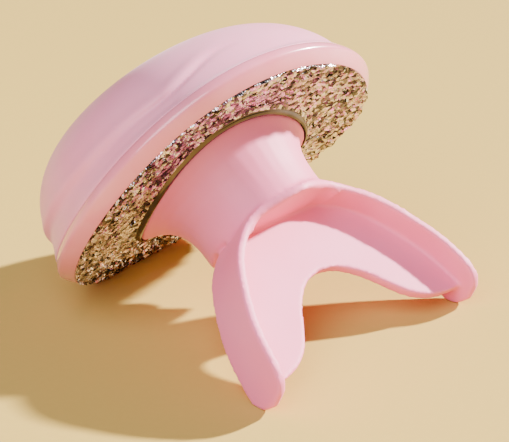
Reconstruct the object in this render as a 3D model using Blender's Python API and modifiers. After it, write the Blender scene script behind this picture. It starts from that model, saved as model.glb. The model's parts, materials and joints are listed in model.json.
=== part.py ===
"""Sonic skin scrubber: silicone dome, crumpled rose-gold back shell and a fluke-shaped handle.

The device is modelled in its own axes: x across, y from the front face to the underside and z from
the tail to the dome, with z = 0 at the rim plane. An empty then lays it on its side, resting on the
rim and on the two tips of the fluke. Sizes are in millimetres and become metres as a mesh is made.
"""

import math

import bmesh
import bpy
from mathutils import Matrix, Vector

MM = 0.001
GAP = 0.3

# Head: the rim is bowed, so that it rises and falls twice on its way round
RIM_RADIUS = 39.4
BACK_RADIUS = 37.0
RIM_TOP = 4.6
BOW = 2.2
BOW_TURN_DEG = -17.5
DOME_RADIUS = 37.3
DOME_TOP = 26.0
DOME_SIDE = 0.6
DOME_CROWN = 1.07
DOME_LEAN = 0.2
DOME_BOW_FADE = 7.0
SKIN = 2.0
CORE_WALL = 1.6
SHELL_WALL = 1.6
FLANGE_RADIUS = 33.4
HEAD_STEPS = 40

# Neck: it leans forward as it leaves the head
NECK_TOP = 1.2
NECK_TOP_RADIUS = 20.7
NECK_LEAN = 4.2
NECK_LEAN_LENGTH = 5.0
NECK_LEAN_START = -0.4
NECK_PROFILE = [(20.7, -0.4), (18.8, -1.7), (17.0, -3.6), (15.6, -6.2), (14.8, -9.0), (14.5, -11.8),
                (14.5, -15.5)]
LIP_HALF = 13.0
LIP_FRONT = 14.2
LIP_BULGE = 5.9
LIP_SPREAD = 7.5
SEAT_INNER = 11.6
SEAT_MIDDLE = 16.3
BORE_RADIUS = 12.0
BORE_FLOOR = -12.7

# Fluke: a ribbon-like wall round a web that stands forward of the head's axis and leans forward
WALL = 1.8
WEB = 2.4
WEB_FORWARD = 5.1
WEB_LEAN = 0.107
ARCH = [(0.0, -14.5), (10.0, -14.6), (15.5, -17.2), (20.8, -22.0), (25.2, -29.0), (28.4, -36.2), (30.1, -44.0),
        (30.9, -53.0)]
NOTCH = [(0.0, -30.1), (4.5, -31.1), (9.3, -34.7), (13.2, -39.7), (16.6, -43.5), (21.0, -45.9), (26.0, -46.8),
         (30.0, -47.0)]
FRONT_EDGE = [(-7.2, -11.0), (-7.2, -30.0), (-7.0, -42.0), (-6.0, -46.8), (-3.6, -49.2), (0.2, -50.3)]
REAR_EDGE = [(4.8, -11.0), (4.8, -30.0), (5.0, -42.0), (5.2, -46.6), (3.4, -49.3), (0.2, -50.3)]

# Inside the head
CARRIER_RADIUS = 30.0
CARRIER_Z = 6.2
CARRIER_THICK = 1.6
BOARD_THICK = 1.2
MOTOR_RADIUS = 7.5
MOTOR_HEIGHT = 7.0
SHAFT_RADIUS = 1.0
WEIGHT_RADIUS = 6.0
WEIGHT_TOP = 19.0

# Power button, in a round boss on the underside of the neck, and the charging pins beside it
BUTTON_Z = -8.0
BUTTON_RADIUS = 3.2
BUTTON_TRAVEL = 0.6
BUTTON_SEAT = 7.3
BUTTON_TOP = 14.0
BOSS_RADIUS = 4.7
BOSS_TOP = 13.3
SWITCH_FACE = 3.0
PIPE_RADIUS = 0.5
PIN_RADIUS = 0.9
PIN_TOP = 9.7
PIN_X = (-7.0, 7.0)

# Screws and cable
SCREW_HOLE = 1.1
CARRIER_SCREWS = [(side * 24.8, y) for side in (-1, 1) for y in (-11.5, 11.5)]
HANDLE_SCREWS = [(-14.6, -5.3), (14.6, -5.3), (0.0, -15.6)]
CLAMP_SCREWS = [(-11.3, 0.0), (11.3, 0.0)]
BOARD_SCREWS = [(-11.6, -22.8), (11.6, -22.8)]
CABLE_RADIUS = 0.7
CABLE_PASS = (0.0, -11.2)


# ---------------------------------------------------------------- scene, collections, materials

def clear_scene():
    for obj in list(bpy.data.objects):
        bpy.data.objects.remove(obj, do_unlink=True)


def new_collection(name):
    collection = bpy.data.collections.new(name)
    bpy.context.scene.collection.children.link(collection)
    return collection


def material(name, rgb, roughness, metallic=0.0):
    made = bpy.data.materials.new(name)
    made.use_nodes = True
    shader = made.node_tree.nodes["Principled BSDF"]
    shader.inputs["Base Color"].default_value = (*rgb, 1.0)
    shader.inputs["Roughness"].default_value = roughness
    shader.inputs["Metallic"].default_value = metallic
    return made


clear_scene()
DEVICE = new_collection("skin_scrubber")
CUTTERS = new_collection("cutters")
CUTTERS.hide_render = True
LEAN = bpy.data.objects.new("lean", None)
DEVICE.objects.link(LEAN)

DOME_PINK = ("dome_silicone", (0.76, 0.48, 0.53), 0.35)
RIM_PINK = ("rim_gloss_pink", (0.74, 0.44, 0.49), 0.18)
HANDLE_PINK = ("handle_satin_pink", (0.72, 0.40, 0.46), 0.38)
ROSE_GOLD = ("rose_gold_foil", (0.62, 0.40, 0.30), 0.25, 1.0)
WHITE_ABS = ("white_abs", (0.75, 0.74, 0.72), 0.5)
BLACK_ABS = ("black_abs", (0.03, 0.03, 0.03), 0.5)
GASKET = ("gasket_rubber", (0.08, 0.07, 0.07), 0.7)
STEEL = ("steel", (0.55, 0.55, 0.56), 0.3, 1.0)
SCREW_STEEL = ("screw_steel", (0.42, 0.42, 0.44), 0.35, 1.0)
BRASS = ("tungsten_brass", (0.60, 0.45, 0.20), 0.35, 1.0)
GOLD = ("gold_plate", (0.80, 0.58, 0.22), 0.25, 1.0)
SILVER_FOIL = ("cell_foil", (0.60, 0.61, 0.62), 0.4, 1.0)
BOARD_GREEN = ("board_green", (0.02, 0.16, 0.07), 0.45)
LED_LENS = ("led_lens", (0.85, 0.85, 0.82), 0.15)
LEAD_RED = ("lead_red", (0.50, 0.02, 0.02), 0.5)
LEAD_BLACK = ("lead_black", (0.02, 0.02, 0.02), 0.5)
LEAD_GREY = ("lead_grey", (0.30, 0.30, 0.31), 0.5)


# ---------------------------------------------------------------- making and joining shapes

def add_object(name, mesh, look=None, at=(0.0, 0.0, 0.0)):
    """A node of the device, or a cutter when it has no look."""
    obj = bpy.data.objects.new(name, mesh)
    obj.parent = LEAN
    obj.location = Vector(at) * MM
    if look is None:
        CUTTERS.objects.link(obj)
        obj.hide_render = True
        obj.display_type = "WIRE"
    else:
        DEVICE.objects.link(obj)
        mesh.materials.append(material(*look))
    return obj


def finish_mesh(bm, name):
    bmesh.ops.recalc_face_normals(bm, faces=bm.faces)
    mesh = bpy.data.meshes.new(name)
    bm.to_mesh(mesh)
    bm.free()
    mesh.shade_smooth()
    mesh.set_sharp_from_angle(angle=math.radians(35.0))
    return mesh


def evaluated_bmesh(obj):
    """The object's evaluated mesh in its own axes, with loose caps welded."""
    graph = bpy.context.evaluated_depsgraph_get()
    mesh = bpy.data.meshes.new_from_object(obj.evaluated_get(graph))
    bm = bmesh.new()
    bm.from_mesh(mesh)
    bpy.data.meshes.remove(mesh)
    bmesh.ops.remove_doubles(bm, verts=bm.verts, dist=0.001 * MM)
    return bm


def bow_at(x, y):
    """How far the bow lifts a point towards the dome: it is full from the neck outwards."""
    radius = math.hypot(x, y)
    turn = math.radians(BOW_TURN_DEG)
    across = x * math.cos(turn) + y * math.sin(turn)
    upright = y * math.cos(turn) - x * math.sin(turn)
    fade = min(1.0, radius / NECK_TOP_RADIUS) ** 2
    return BOW * fade * (upright ** 2 - across ** 2) / max(radius, 0.001) ** 2


def bow_head(x, y, z):
    return x, y, z + bow_at(x, y)


def bow_dome(x, y, z):
    """The dome follows the bowed rim at its edge only, and its crown lies towards the underside."""
    height = max(z - RIM_TOP, 0.0)
    fade = max(0.0, 1.0 - height / DOME_BOW_FADE) ** 2
    return x, y + DOME_LEAN * height, z + bow_at(x, y) * fade


def neck_forward(z):
    """How far the neck's centre stands to the front side, which is -y, at this height."""
    return NECK_LEAN * (1.0 - math.exp(min(z - NECK_LEAN_START, 0.0) / NECK_LEAN_LENGTH))


def lean_neck(x, y, z):
    """The neck starts square on the bowed back shell and then leans forward."""
    fade = min(1.0, max(0.0, 1.0 + (z - NECK_LEAN_START) / 9.0)) ** 2
    return x, y - neck_forward(z), z + bow_at(x, y) * fade


def lean_fluke(x, y, z):
    return x, y - WEB_FORWARD + WEB_LEAN * z, z


def lean_bore(x, y, z):
    return x, y - neck_forward(z), z


def reshape(bm, rule):
    for vert in bm.verts:
        vert.co = Vector(rule(*(vert.co / MM))) * MM


def turned(name, profile, look=None, rule=None, closed=True, steps=HEAD_STEPS):
    """A turned piece from its (radius, z) profile, by a Screw modifier round z."""
    points = [(radius * MM, 0.0, z * MM) for radius, z in profile]
    edges = [(i, i + 1) for i in range(len(points) - 1)]
    if closed:
        edges.append((len(points) - 1, 0))
    mesh = bpy.data.meshes.new(name + "_profile")
    mesh.from_pydata(points, edges, [])
    sketch = bpy.data.objects.new(name + "_profile", mesh)
    CUTTERS.objects.link(sketch)
    screw = sketch.modifiers.new("Turn", "SCREW")
    screw.axis = "Z"
    screw.steps = steps
    screw.render_steps = steps
    screw.use_merge_vertices = True
    screw.merge_threshold = 0.00001
    bm = evaluated_bmesh(sketch)
    bpy.data.objects.remove(sketch)
    if rule:
        reshape(bm, rule)
    return add_object(name, finish_mesh(bm, name), look)


def cylinder(name, radius, start, end, look=None, sides=24, at=(0.0, 0.0, 0.0)):
    """A cylinder between two points of its axis."""
    start = Vector(start)
    end = Vector(end)
    along = end - start
    bm = bmesh.new()
    bmesh.ops.create_cone(bm, cap_ends=True, segments=sides, radius1=radius * MM, radius2=radius * MM,
                          depth=along.length * MM)
    turn = along.to_track_quat("Z", "Y").to_matrix().to_4x4()
    middle = Matrix.Translation(((start + end) / 2 - Vector(at)) * MM)
    bmesh.ops.transform(bm, matrix=middle @ turn, verts=bm.verts)
    return add_object(name, finish_mesh(bm, name), look, at)


def block(name, low, high, look=None, bevel=0.0):
    """A box between two corners, with its edges rounded when a bevel is given."""
    low = Vector(low)
    high = Vector(high)
    bm = bmesh.new()
    bmesh.ops.create_cube(bm, size=MM)
    for vert in bm.verts:
        vert.co = Vector([vert.co[i] * (high[i] - low[i]) + (low[i] + high[i]) / 2 * MM for i in range(3)])
    obj = add_object(name, finish_mesh(bm, name), look)
    if bevel:
        rounding = obj.modifiers.new("Round", "BEVEL")
        rounding.width = bevel * MM
        rounding.segments = 2
    return obj


def outline_solid(name, points, thick, plane):
    """A cutter from a flat outline, extruded to both sides: x and z ('front') or y and z ('side')."""
    curve = bpy.data.curves.new(name, "CURVE")
    curve.dimensions = "2D"
    curve.fill_mode = "BOTH"
    curve.extrude = thick / 2 * MM
    spline = curve.splines.new("POLY")
    spline.points.add(len(points) - 1)
    for point, (u, v) in zip(spline.points, points):
        point.co = (u * MM, v * MM, 0.0, 1.0)
    spline.use_cyclic_u = True
    sketch = bpy.data.objects.new(name + "_outline", curve)
    CUTTERS.objects.link(sketch)
    bm = evaluated_bmesh(sketch)
    bpy.data.objects.remove(sketch)
    stand = Matrix.Rotation(math.radians(90.0), 4, "X")
    if plane == "side":
        stand = Matrix.Rotation(math.radians(90.0), 4, "Z") @ stand
    bmesh.ops.transform(bm, matrix=stand, verts=bm.verts)
    reshape(bm, lean_fluke)
    return add_object(name, finish_mesh(bm, name))


def tube(name, points, radius, look):
    """A lead: a round section along a polyline."""
    curve = bpy.data.curves.new(name, "CURVE")
    curve.dimensions = "3D"
    curve.bevel_depth = radius * MM
    curve.bevel_resolution = 2
    curve.use_fill_caps = True
    spline = curve.splines.new("POLY")
    spline.points.add(len(points) - 1)
    for point, place in zip(spline.points, points):
        point.co = (*(Vector(place) * MM), 1.0)
    obj = bpy.data.objects.new(name, curve)
    obj.parent = LEAN
    DEVICE.objects.link(obj)
    curve.materials.append(material(*look))
    return obj


def disc_part(name, outline, low, high, look=None):
    """A flat piece across the axis: its outline in x and y, between two heights."""
    bm = bmesh.new()
    lower = [bm.verts.new((x * MM, y * MM, low * MM)) for x, y in outline]
    face = bm.faces.new(lower)
    grown = bmesh.ops.extrude_face_region(bm, geom=[face])
    raised = [v for v in grown["geom"] if isinstance(v, bmesh.types.BMVert)]
    bmesh.ops.translate(bm, vec=(0.0, 0.0, (high - low) * MM), verts=raised)
    return add_object(name, finish_mesh(bm, name), look)


def combine(target, other, operation):
    """Joins another solid to the target, or cuts it away."""
    step = target.modifiers.new(other.name, "BOOLEAN")
    step.operation = operation
    step.solver = "EXACT"
    step.object = other


def smooth_through(points, per_span=5):
    """A Catmull-Rom line through the points."""
    places = [Vector(p) for p in points]
    knots = [2 * places[0] - places[1], *places, 2 * places[-1] - places[-2]]
    line = []
    for p0, p1, p2, p3 in zip(knots, knots[1:], knots[2:], knots[3:]):
        for i in range(per_span):
            t = i / per_span
            line.append(0.5 * (2 * p1 + (p2 - p0) * t + (2 * p0 - 5 * p1 + 4 * p2 - p3) * t * t
                               + (3 * p1 - p0 - 3 * p2 + p3) * t ** 3))
    line.append(knots[-2])
    return [tuple(p) for p in line]


def mirrored(half):
    """A half outline that starts at x = 0, with its mirror image, from the left end to the right."""
    return [(-x, z) for x, z in reversed(half[1:])] + list(half)


def inset(line, distance):
    """The line moved to its right-hand side."""
    moved = []
    for i, (x, z) in enumerate(line):
        before = Vector(line[max(i - 1, 0)])
        after = Vector(line[min(i + 1, len(line) - 1)])
        along = (after - before).normalized()
        moved.append((x + along.y * distance, z - along.x * distance))
    return moved


# ---------------------------------------------------------------- head

def dome_line(radius, base, top, count=8):
    """From the crown down to the edge: a rounded cap with full sides."""
    angles = [math.radians(90.0 * (1 - i / count)) for i in range(count + 1)]
    return [(radius * max(math.cos(a), 0.0) ** DOME_SIDE * (i > 0),
             base + (top - base) * math.sin(a) ** DOME_CROWN) for i, a in enumerate(angles)]


def dome_shell(name, radius, top, wall, look):
    base = RIM_TOP + GAP
    outer = dome_line(radius, base, top)
    inner = dome_line(radius - wall, base, top - wall)
    return turned(name, outer + inner[::-1], look, bow_dome, closed=False)


def make_head():
    dome_shell("scrub_dome", DOME_RADIUS, DOME_TOP, SKIN, DOME_PINK)
    dome_shell("dome_core", DOME_RADIUS - SKIN - GAP, DOME_TOP - SKIN - GAP, CORE_WALL, WHITE_ABS)

    flange_low = RIM_TOP - 1.4
    rim = [(RIM_RADIUS - 0.7, RIM_TOP), (RIM_RADIUS, RIM_TOP - 0.9), (RIM_RADIUS, 2.6), (RIM_RADIUS - 0.8, 1.2),
           (BACK_RADIUS, 0.0), (BACK_RADIUS - 0.2, flange_low), (FLANGE_RADIUS, flange_low),
           (FLANGE_RADIUS, RIM_TOP)]
    turned("rim_ring", rim, RIM_PINK, bow_head)

    gasket = 0.7
    middle = flange_low - GAP - gasket
    ring = [(BACK_RADIUS - 1.5 + gasket * math.cos(a), middle + gasket * math.sin(a))
            for a in (math.radians(90.0 - 60.0 * i) for i in range(6))]
    turned("seal_ring", ring, GASKET, bow_head)

    lip = BACK_RADIUS - 0.2 - GAP
    lip_top = middle - gasket - GAP
    collar = NECK_TOP_RADIUS + GAP
    disc_low = NECK_TOP + GAP
    disc_top = disc_low + SHELL_WALL
    back = [(lip, lip_top), (lip, 0.1), (33.5, 0.4), (29.5, 0.9), (25.5, 1.2), (23.6, 1.2), (22.2, 0.7),
            (collar + 0.3, -0.2), (collar, -0.2), (collar, disc_low), (SEAT_MIDDLE, disc_low),
            (SEAT_INNER, disc_low), (SEAT_INNER, disc_top), (SEAT_MIDDLE, disc_top), (25.0, disc_top),
            (30.0, disc_top - 0.3), (33.5, lip_top + 0.4)]
    return turned("glitter_back", back, ROSE_GOLD, bow_head)


# ---------------------------------------------------------------- handle

def fluke_solid():
    """The fluke: a ribbon-like wall that follows the arch, with the flat web across it."""
    outer = mirrored(smooth_through(ARCH))
    inner = inset(outer, WALL)
    wall = outline_solid("fluke_wall", outer + inner[::-1], 60.0, "front")
    middle = inset(outer, WALL / 2)
    notch = mirrored(smooth_through(NOTCH))
    web = outline_solid("fluke_web", middle + notch[::-1], WEB, "front")
    side = outline_solid("fluke_side", smooth_through(FRONT_EDGE, 3) + smooth_through(REAR_EDGE, 3)[-2::-1],
                         70.0, "side")
    combine(wall, web, "UNION")
    combine(wall, side, "INTERSECT")
    return wall


def arch_lip():
    """The ledge where the neck runs out into the arch: it bulges forward in the middle."""
    foot_radius = NECK_PROFILE[-1][0]
    foot_forward = neck_forward(NECK_PROFILE[-1][1])
    across = [LIP_HALF * i / 8 for i in range(-8, 9)]
    front = [(x, -LIP_FRONT - LIP_BULGE * math.exp(-(x / LIP_SPREAD) ** 2)) for x in across]
    rear = [(x, math.sqrt(foot_radius ** 2 - x ** 2) - foot_forward) for x in across]
    return disc_part("arch_lip", front + rear[::-1], ARCH[0][1] - WALL, ARCH[0][1])


def make_handle():
    profile = [(0.0, NECK_TOP), (SEAT_INNER, NECK_TOP), (SEAT_MIDDLE, NECK_TOP), (NECK_TOP_RADIUS, NECK_TOP),
               *NECK_PROFILE, (0.0, NECK_PROFILE[-1][1])]
    handle = turned("tail_handle", profile, HANDLE_PINK, lean_neck, closed=False)
    boss = cylinder("button_boss", BOSS_RADIUS, (0, 6, BUTTON_Z), (0, BOSS_TOP, BUTTON_Z), sides=24)
    for piece in (boss, arch_lip(), fluke_solid()):
        combine(handle, piece, "UNION")

    levels = [BORE_FLOOR * i / 8 for i in range(9)]
    bore = turned("neck_bore", [(0.0, 6.0), (BORE_RADIUS, 6.0)] + [(BORE_RADIUS, z) for z in levels]
                  + [(0.0, BORE_FLOOR)], None, lean_bore, closed=False, steps=40)
    cuts = [bore, cylinder("button_hole", BUTTON_RADIUS + GAP, (0, 3, BUTTON_Z), (0, 25, BUTTON_Z))]
    for i, x in enumerate(PIN_X):
        start = (x, 3, BUTTON_Z)
        end = (x, 25, BUTTON_Z)
        cuts.append(cylinder(f"pin_hole_{i + 1}", PIN_RADIUS + GAP, start, end, sides=12))
    for i, (x, y) in enumerate(HANDLE_SCREWS):
        cuts.append(cylinder(f"handle_hole_{i + 1}", SCREW_HOLE, (x, y, 9), (x, y, -3.0), sides=12))
    for cutter in cuts:
        combine(handle, cutter, "DIFFERENCE")
    return handle


# ---------------------------------------------------------------- fasteners

def screw(name, x, y, seat, length, shank=0.8, head=1.7, head_high=1.0):
    """A pan-head screw along z, its head on the dome side of the seat, as one turned solid."""
    low = seat + GAP
    profile = [(0.0, low + head_high), (head * 0.75, low + head_high), (head, low + head_high * 0.5),
               (head, low), (shank, low), (shank, low - length + 0.5), (0.0, low - length)]
    made = turned(name, profile, SCREW_STEEL, closed=False, steps=12)
    made.location = Vector((x, y, 0.0)) * MM
    return made


# ---------------------------------------------------------------- inside of the head

def make_carrier(shell):
    """The inner chassis, on four bosses of the back shell."""
    top = CARRIER_Z + CARRIER_THICK
    carrier = cylinder("carrier_plate", CARRIER_RADIUS, (0, 0, CARRIER_Z), (0, 0, top), WHITE_ABS, sides=40)
    floor = NECK_TOP + GAP + SHELL_WALL
    for i, (x, y) in enumerate(CARRIER_SCREWS):
        foot = floor + bow_at(x, y)
        boss = cylinder(f"boss_{i + 1}", 2.6, (x, y, foot - 1.0), (x, y, CARRIER_Z - GAP), sides=16)
        combine(shell, boss, "UNION")
        hole = cylinder(f"boss_hole_{i + 1}", SCREW_HOLE, (x, y, foot - 0.6), (x, y, 12), sides=12)
        combine(shell, hole, "DIFFERENCE")
        combine(carrier, hole, "DIFFERENCE")
        screw(f"carrier_screw_{i + 1}", x, y, top, top - foot + 0.2)
    for i, (x, y) in enumerate(HANDLE_SCREWS):
        hole = cylinder(f"shell_hole_{i + 1}", SCREW_HOLE, (x, y, -3), (x, y, 9), sides=12)
        combine(shell, hole, "DIFFERENCE")
        screw(f"handle_screw_{i + 1}", x, y, floor + bow_at(x, y) + 0.3, 5.0)
    cable = cylinder("cable_pass", CABLE_RADIUS + 0.5, (*CABLE_PASS, 2), (*CABLE_PASS, 9), sides=12)
    combine(carrier, cable, "DIFFERENCE")
    for i, (x, y) in enumerate(BOARD_SCREWS + CLAMP_SCREWS):
        hole = cylinder(f"deck_hole_{i + 1}", SCREW_HOLE, (x, y, 2), (x, y, 9), sides=12)
        combine(carrier, hole, "DIFFERENCE")
    return top


def make_motor(deck):
    """The vibration motor stands on the chassis; its shaft carries a half-round weight."""
    low = deck + GAP
    top = low + MOTOR_HEIGHT
    can = cylinder("motor_can", MOTOR_RADIUS, (0, 0, low), (0, 0, top), STEEL, sides=24)
    well = cylinder("shaft_well", SHAFT_RADIUS + 0.1, (0, 0, low + 1.5), (0, 0, top + 1), sides=16)
    combine(can, well, "DIFFERENCE")
    cylinder("motor_shaft", SHAFT_RADIUS, (0, 0, low + 2.0), (0, 0, WEIGHT_TOP + 0.6), STEEL, sides=16,
             at=(0, 0, WEIGHT_TOP))
    arc = [(WEIGHT_RADIUS * math.cos(a), WEIGHT_RADIUS * math.sin(a))
           for a in (math.radians(200.0 * i / 14 - 190.0) for i in range(15))]
    curve_low = top + 0.8
    weight = disc_part("eccentric_weight", arc, curve_low, WEIGHT_TOP, BRASS)
    hub = cylinder("weight_hub", SHAFT_RADIUS + 1.4, (0, 0, curve_low), (0, 0, WEIGHT_TOP), sides=16)
    bore = cylinder("weight_bore", SHAFT_RADIUS + 0.05, (0, 0, low), (0, 0, 30), sides=16)
    combine(weight, hub, "UNION")
    combine(weight, bore, "DIFFERENCE")

    ring = [(MOTOR_RADIUS + 1.9, low + 4.5), (MOTOR_RADIUS + 1.9, low), (MOTOR_RADIUS + GAP, low),
            (MOTOR_RADIUS + GAP, low + 4.5)]
    clamp = turned("motor_bracket", ring[::-1], BLACK_ABS, steps=24)
    for i, (x, y) in enumerate(CLAMP_SCREWS):
        side = math.copysign(1.0, x)
        ear = block(f"clamp_ear_{i + 1}", (min(side * 8.5, x + side * 2.4), -2.4, low),
                    (max(side * 8.5, x + side * 2.4), 2.4, low + 1.6))
        combine(clamp, ear, "UNION")
        hole = cylinder(f"clamp_hole_{i + 1}", SCREW_HOLE, (x, y, low - 1), (x, y, low + 3), sides=12)
        combine(clamp, hole, "DIFFERENCE")
        screw(f"clamp_screw_{i + 1}", x, y, low + 1.6, 3.6)


def make_electronics(deck):
    """Cell, main board and their leads, side by side on the chassis."""
    low = deck + GAP
    block("battery", (-15.0, 11.2, low), (15.0, 25.2, low + 6.0), SILVER_FOIL, bevel=1.0)
    strap_low = low + 6.0 + GAP
    block("battery_strap", (-3.0, 10.4, strap_low), (3.0, 26.0, strap_low + 0.9), BLACK_ABS)

    board = block("main_board", (-14.0, -25.5, low), (14.0, -13.0, low + BOARD_THICK), BOARD_GREEN)
    for i, (x, y) in enumerate(BOARD_SCREWS):
        hole = cylinder(f"board_hole_{i + 1}", SCREW_HOLE, (x, y, low - 1), (x, y, low + 3), sides=12)
        combine(board, hole, "DIFFERENCE")
        screw(f"board_screw_{i + 1}", x, y, low + BOARD_THICK, 3.2)
    face = low + BOARD_THICK + GAP
    block("control_chip", (-3.0, -22.5, face), (3.0, -16.5, face + 1.0), BLACK_ABS)
    block("charge_chip", (5.0, -19.0, face), (8.5, -15.5, face + 0.9), BLACK_ABS)
    cylinder("power_coil", 2.0, (-7.0, -19.5, face), (-7.0, -19.5, face + 2.0), BLACK_ABS, sides=16)

    high = low + 3.0
    for name, side, look in (("battery_lead_plus", 1, LEAD_RED), ("battery_lead_minus", -1, LEAD_BLACK)):
        route = [(side * 13.0, 10.4, high), (side * 14.0, 8.0, high), (side * 14.6, 0.0, high),
                 (side * 14.0, -8.0, high), (side * 12.0, -12.5, high - 0.3), (side * 9.6, -14.6, face + 0.6)]
        tube(name, smooth_through(route, 3), 0.5, look)


# ---------------------------------------------------------------- switch, button and contacts

def make_controls():
    """The power button with its light pipe, the switch under it, the charging pins and the cable."""
    origin = (0, BUTTON_TOP, BUTTON_Z)
    button = cylinder("power_button", BUTTON_RADIUS, (0, BUTTON_SEAT - 0.3, BUTTON_Z), origin, RIM_PINK,
                      sides=32, at=origin)
    flange = cylinder("button_flange", BUTTON_RADIUS + 0.8, (0, BUTTON_SEAT - 1.0, BUTTON_Z),
                      (0, BUTTON_SEAT, BUTTON_Z), sides=24)
    pipe_hole = cylinder("pipe_hole", PIPE_RADIUS + 0.2, (0, 0, BUTTON_Z), (0, 30, BUTTON_Z), sides=12)
    combine(button, flange, "UNION")
    combine(button, pipe_hole, "DIFFERENCE")
    foot = (0, BUTTON_SEAT - 0.8, BUTTON_Z)
    tip = (0, BUTTON_TOP - 0.1, BUTTON_Z)
    cylinder("light_pipe", PIPE_RADIUS, foot, tip, LED_LENS, sides=12, at=origin)

    plunger = BUTTON_SEAT - 1.0 - BUTTON_TRAVEL - 0.1
    block("tact_switch", (-2.6, SWITCH_FACE + GAP, BUTTON_Z - 2.6), (2.6, plunger, BUTTON_Z + 2.6), BLACK_ABS)
    low = BORE_FLOOR + GAP
    block("switch_board", (-8.4, SWITCH_FACE - 1.0, low), (8.4, SWITCH_FACE, -3.2), BOARD_GREEN)
    block("switch_frame", (-9.8, -0.9, low), (9.8, SWITCH_FACE - 1.0 - GAP, -3.2), WHITE_ABS)
    for i, x in enumerate(PIN_X):
        foot = (x, SWITCH_FACE + GAP, BUTTON_Z)
        tip = (x, PIN_TOP, BUTTON_Z)
        cylinder(f"charge_pin_{i + 1}", PIN_RADIUS, foot, tip, GOLD, sides=12)

    x, y = CABLE_PASS
    route = [(x, y, 10.6), (x, y, 6.0), (x, y + 2.2, 3.2), (x, -4.5, 0.0), (x, 1.4, -0.4), (x, 4.2, -1.8),
             (x, 4.4, -3.6)]
    tube("switch_cable", smooth_through(route, 3), CABLE_RADIUS, LEAD_GREY)


# ---------------------------------------------------------------- laying the device down

def resting_points():
    """Where the evaluated head and handle are, in the device's own axes, in metres."""
    graph = bpy.context.evaluated_depsgraph_get()
    found = {}
    for obj in DEVICE.objects:
        if obj.type == "EMPTY":
            continue
        placed = obj.evaluated_get(graph)
        mesh = placed.to_mesh()
        found[obj.name] = [obj.matrix_basis @ vert.co for vert in mesh.vertices]
        placed.to_mesh_clear()
    return found


def lie_down():
    """Leans the device until rim and fluke touch the floor, and centres its box on the origin."""
    found = resting_points()
    low_lean, high_lean = 20.0, 60.0
    for _ in range(40):
        lean = (low_lean + high_lean) / 2
        turn = Matrix.Rotation(math.radians(lean - 90.0), 3, "X")
        rim = min((turn @ p).z for p in found["rim_ring"])
        fluke = min((turn @ p).z for p in found["tail_handle"])
        if fluke > rim:
            low_lean = lean
        else:
            high_lean = lean
    placed = [turn @ p for points in found.values() for p in points]
    low = [min(p[i] for p in placed) for i in range(3)]
    high = [max(p[i] for p in placed) for i in range(3)]
    LEAN.rotation_euler = (math.radians(lean - 90.0), 0.0, 0.0)
    LEAN.location = (-(low[0] + high[0]) / 2, -(low[1] + high[1]) / 2, -low[2])


back_shell = make_head()
make_handle()
deck_height = make_carrier(back_shell)
make_motor(deck_height)
make_electronics(deck_height)
make_controls()
lie_down()
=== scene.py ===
# %% [markdown]
# # A sonic skin scrubber with a fluke-shaped handle
#
# The scrubber lies on its side: a wide silicone dome, a glossy rim band, a back shell covered in crumpled
# rose-gold foil, and a pink handle that runs from a trumpet-shaped neck into a fish-tail fluke.
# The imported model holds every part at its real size, so this script keeps those parts fixed in place and
# only adds what the eye sees: finer surfaces, small details and materials.

# %% Load the parts
import json
import math
import random

import bmesh
import bpy
from mathutils import Matrix, Vector, noise


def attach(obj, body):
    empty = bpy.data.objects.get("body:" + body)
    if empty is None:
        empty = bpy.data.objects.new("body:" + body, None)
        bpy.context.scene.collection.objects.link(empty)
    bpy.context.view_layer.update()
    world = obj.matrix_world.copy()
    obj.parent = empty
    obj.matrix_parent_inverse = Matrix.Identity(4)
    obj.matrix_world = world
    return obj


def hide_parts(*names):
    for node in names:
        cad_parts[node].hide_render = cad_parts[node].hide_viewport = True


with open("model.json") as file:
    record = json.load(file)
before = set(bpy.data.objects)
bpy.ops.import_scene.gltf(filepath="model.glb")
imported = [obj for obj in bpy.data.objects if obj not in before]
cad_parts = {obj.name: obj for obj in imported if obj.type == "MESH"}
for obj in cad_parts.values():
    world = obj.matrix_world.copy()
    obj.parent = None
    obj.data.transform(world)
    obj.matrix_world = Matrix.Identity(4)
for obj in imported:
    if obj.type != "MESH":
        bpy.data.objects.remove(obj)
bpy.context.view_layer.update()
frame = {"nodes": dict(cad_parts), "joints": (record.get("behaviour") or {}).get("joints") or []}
MM = 0.001

# %% [markdown]
# Every shape of the scrubber is easiest to describe in its own axes: x across, y from the front face to
# the underside and z from the tail to the dome, in millimetres, with z = 0 at the rim. The motor's shaft
# lies on that z axis, so its joint gives both the direction and a point to measure from.

# %% The scrubber's own axes
SHAFT_POINT_Z = 15.0
spin = next(j for j in frame["joints"] if j["name"] == "motor_spin")
DOMEWARD = Vector(spin["axis"]).normalized()
ACROSS = Vector((1.0, 0.0, 0.0))
UNDERWARD = DOMEWARD.cross(ACROSS)
RIM_CENTRE = Vector(spin["pos_m"]) - DOMEWARD * SHAFT_POINT_Z * MM
OWN_AXES = Matrix.Translation(RIM_CENTRE) @ Matrix((ACROSS, UNDERWARD, DOMEWARD)).transposed().to_4x4()


def placed(x, y, z):
    """A point given in the scrubber's own axes and millimetres, in the scene."""
    return OWN_AXES @ Vector((x * MM, y * MM, z * MM))


print("leans back by", round(math.degrees(math.asin(DOMEWARD.z)), 2), "degrees")

# %% [markdown]
# ## Camera
#
# The camera stands a little above the scrubber, at an angle that shows the back shell, the neck and the
# fluke at once. A long lens from a third of a metre keeps the shape honest, with little perspective.

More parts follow.
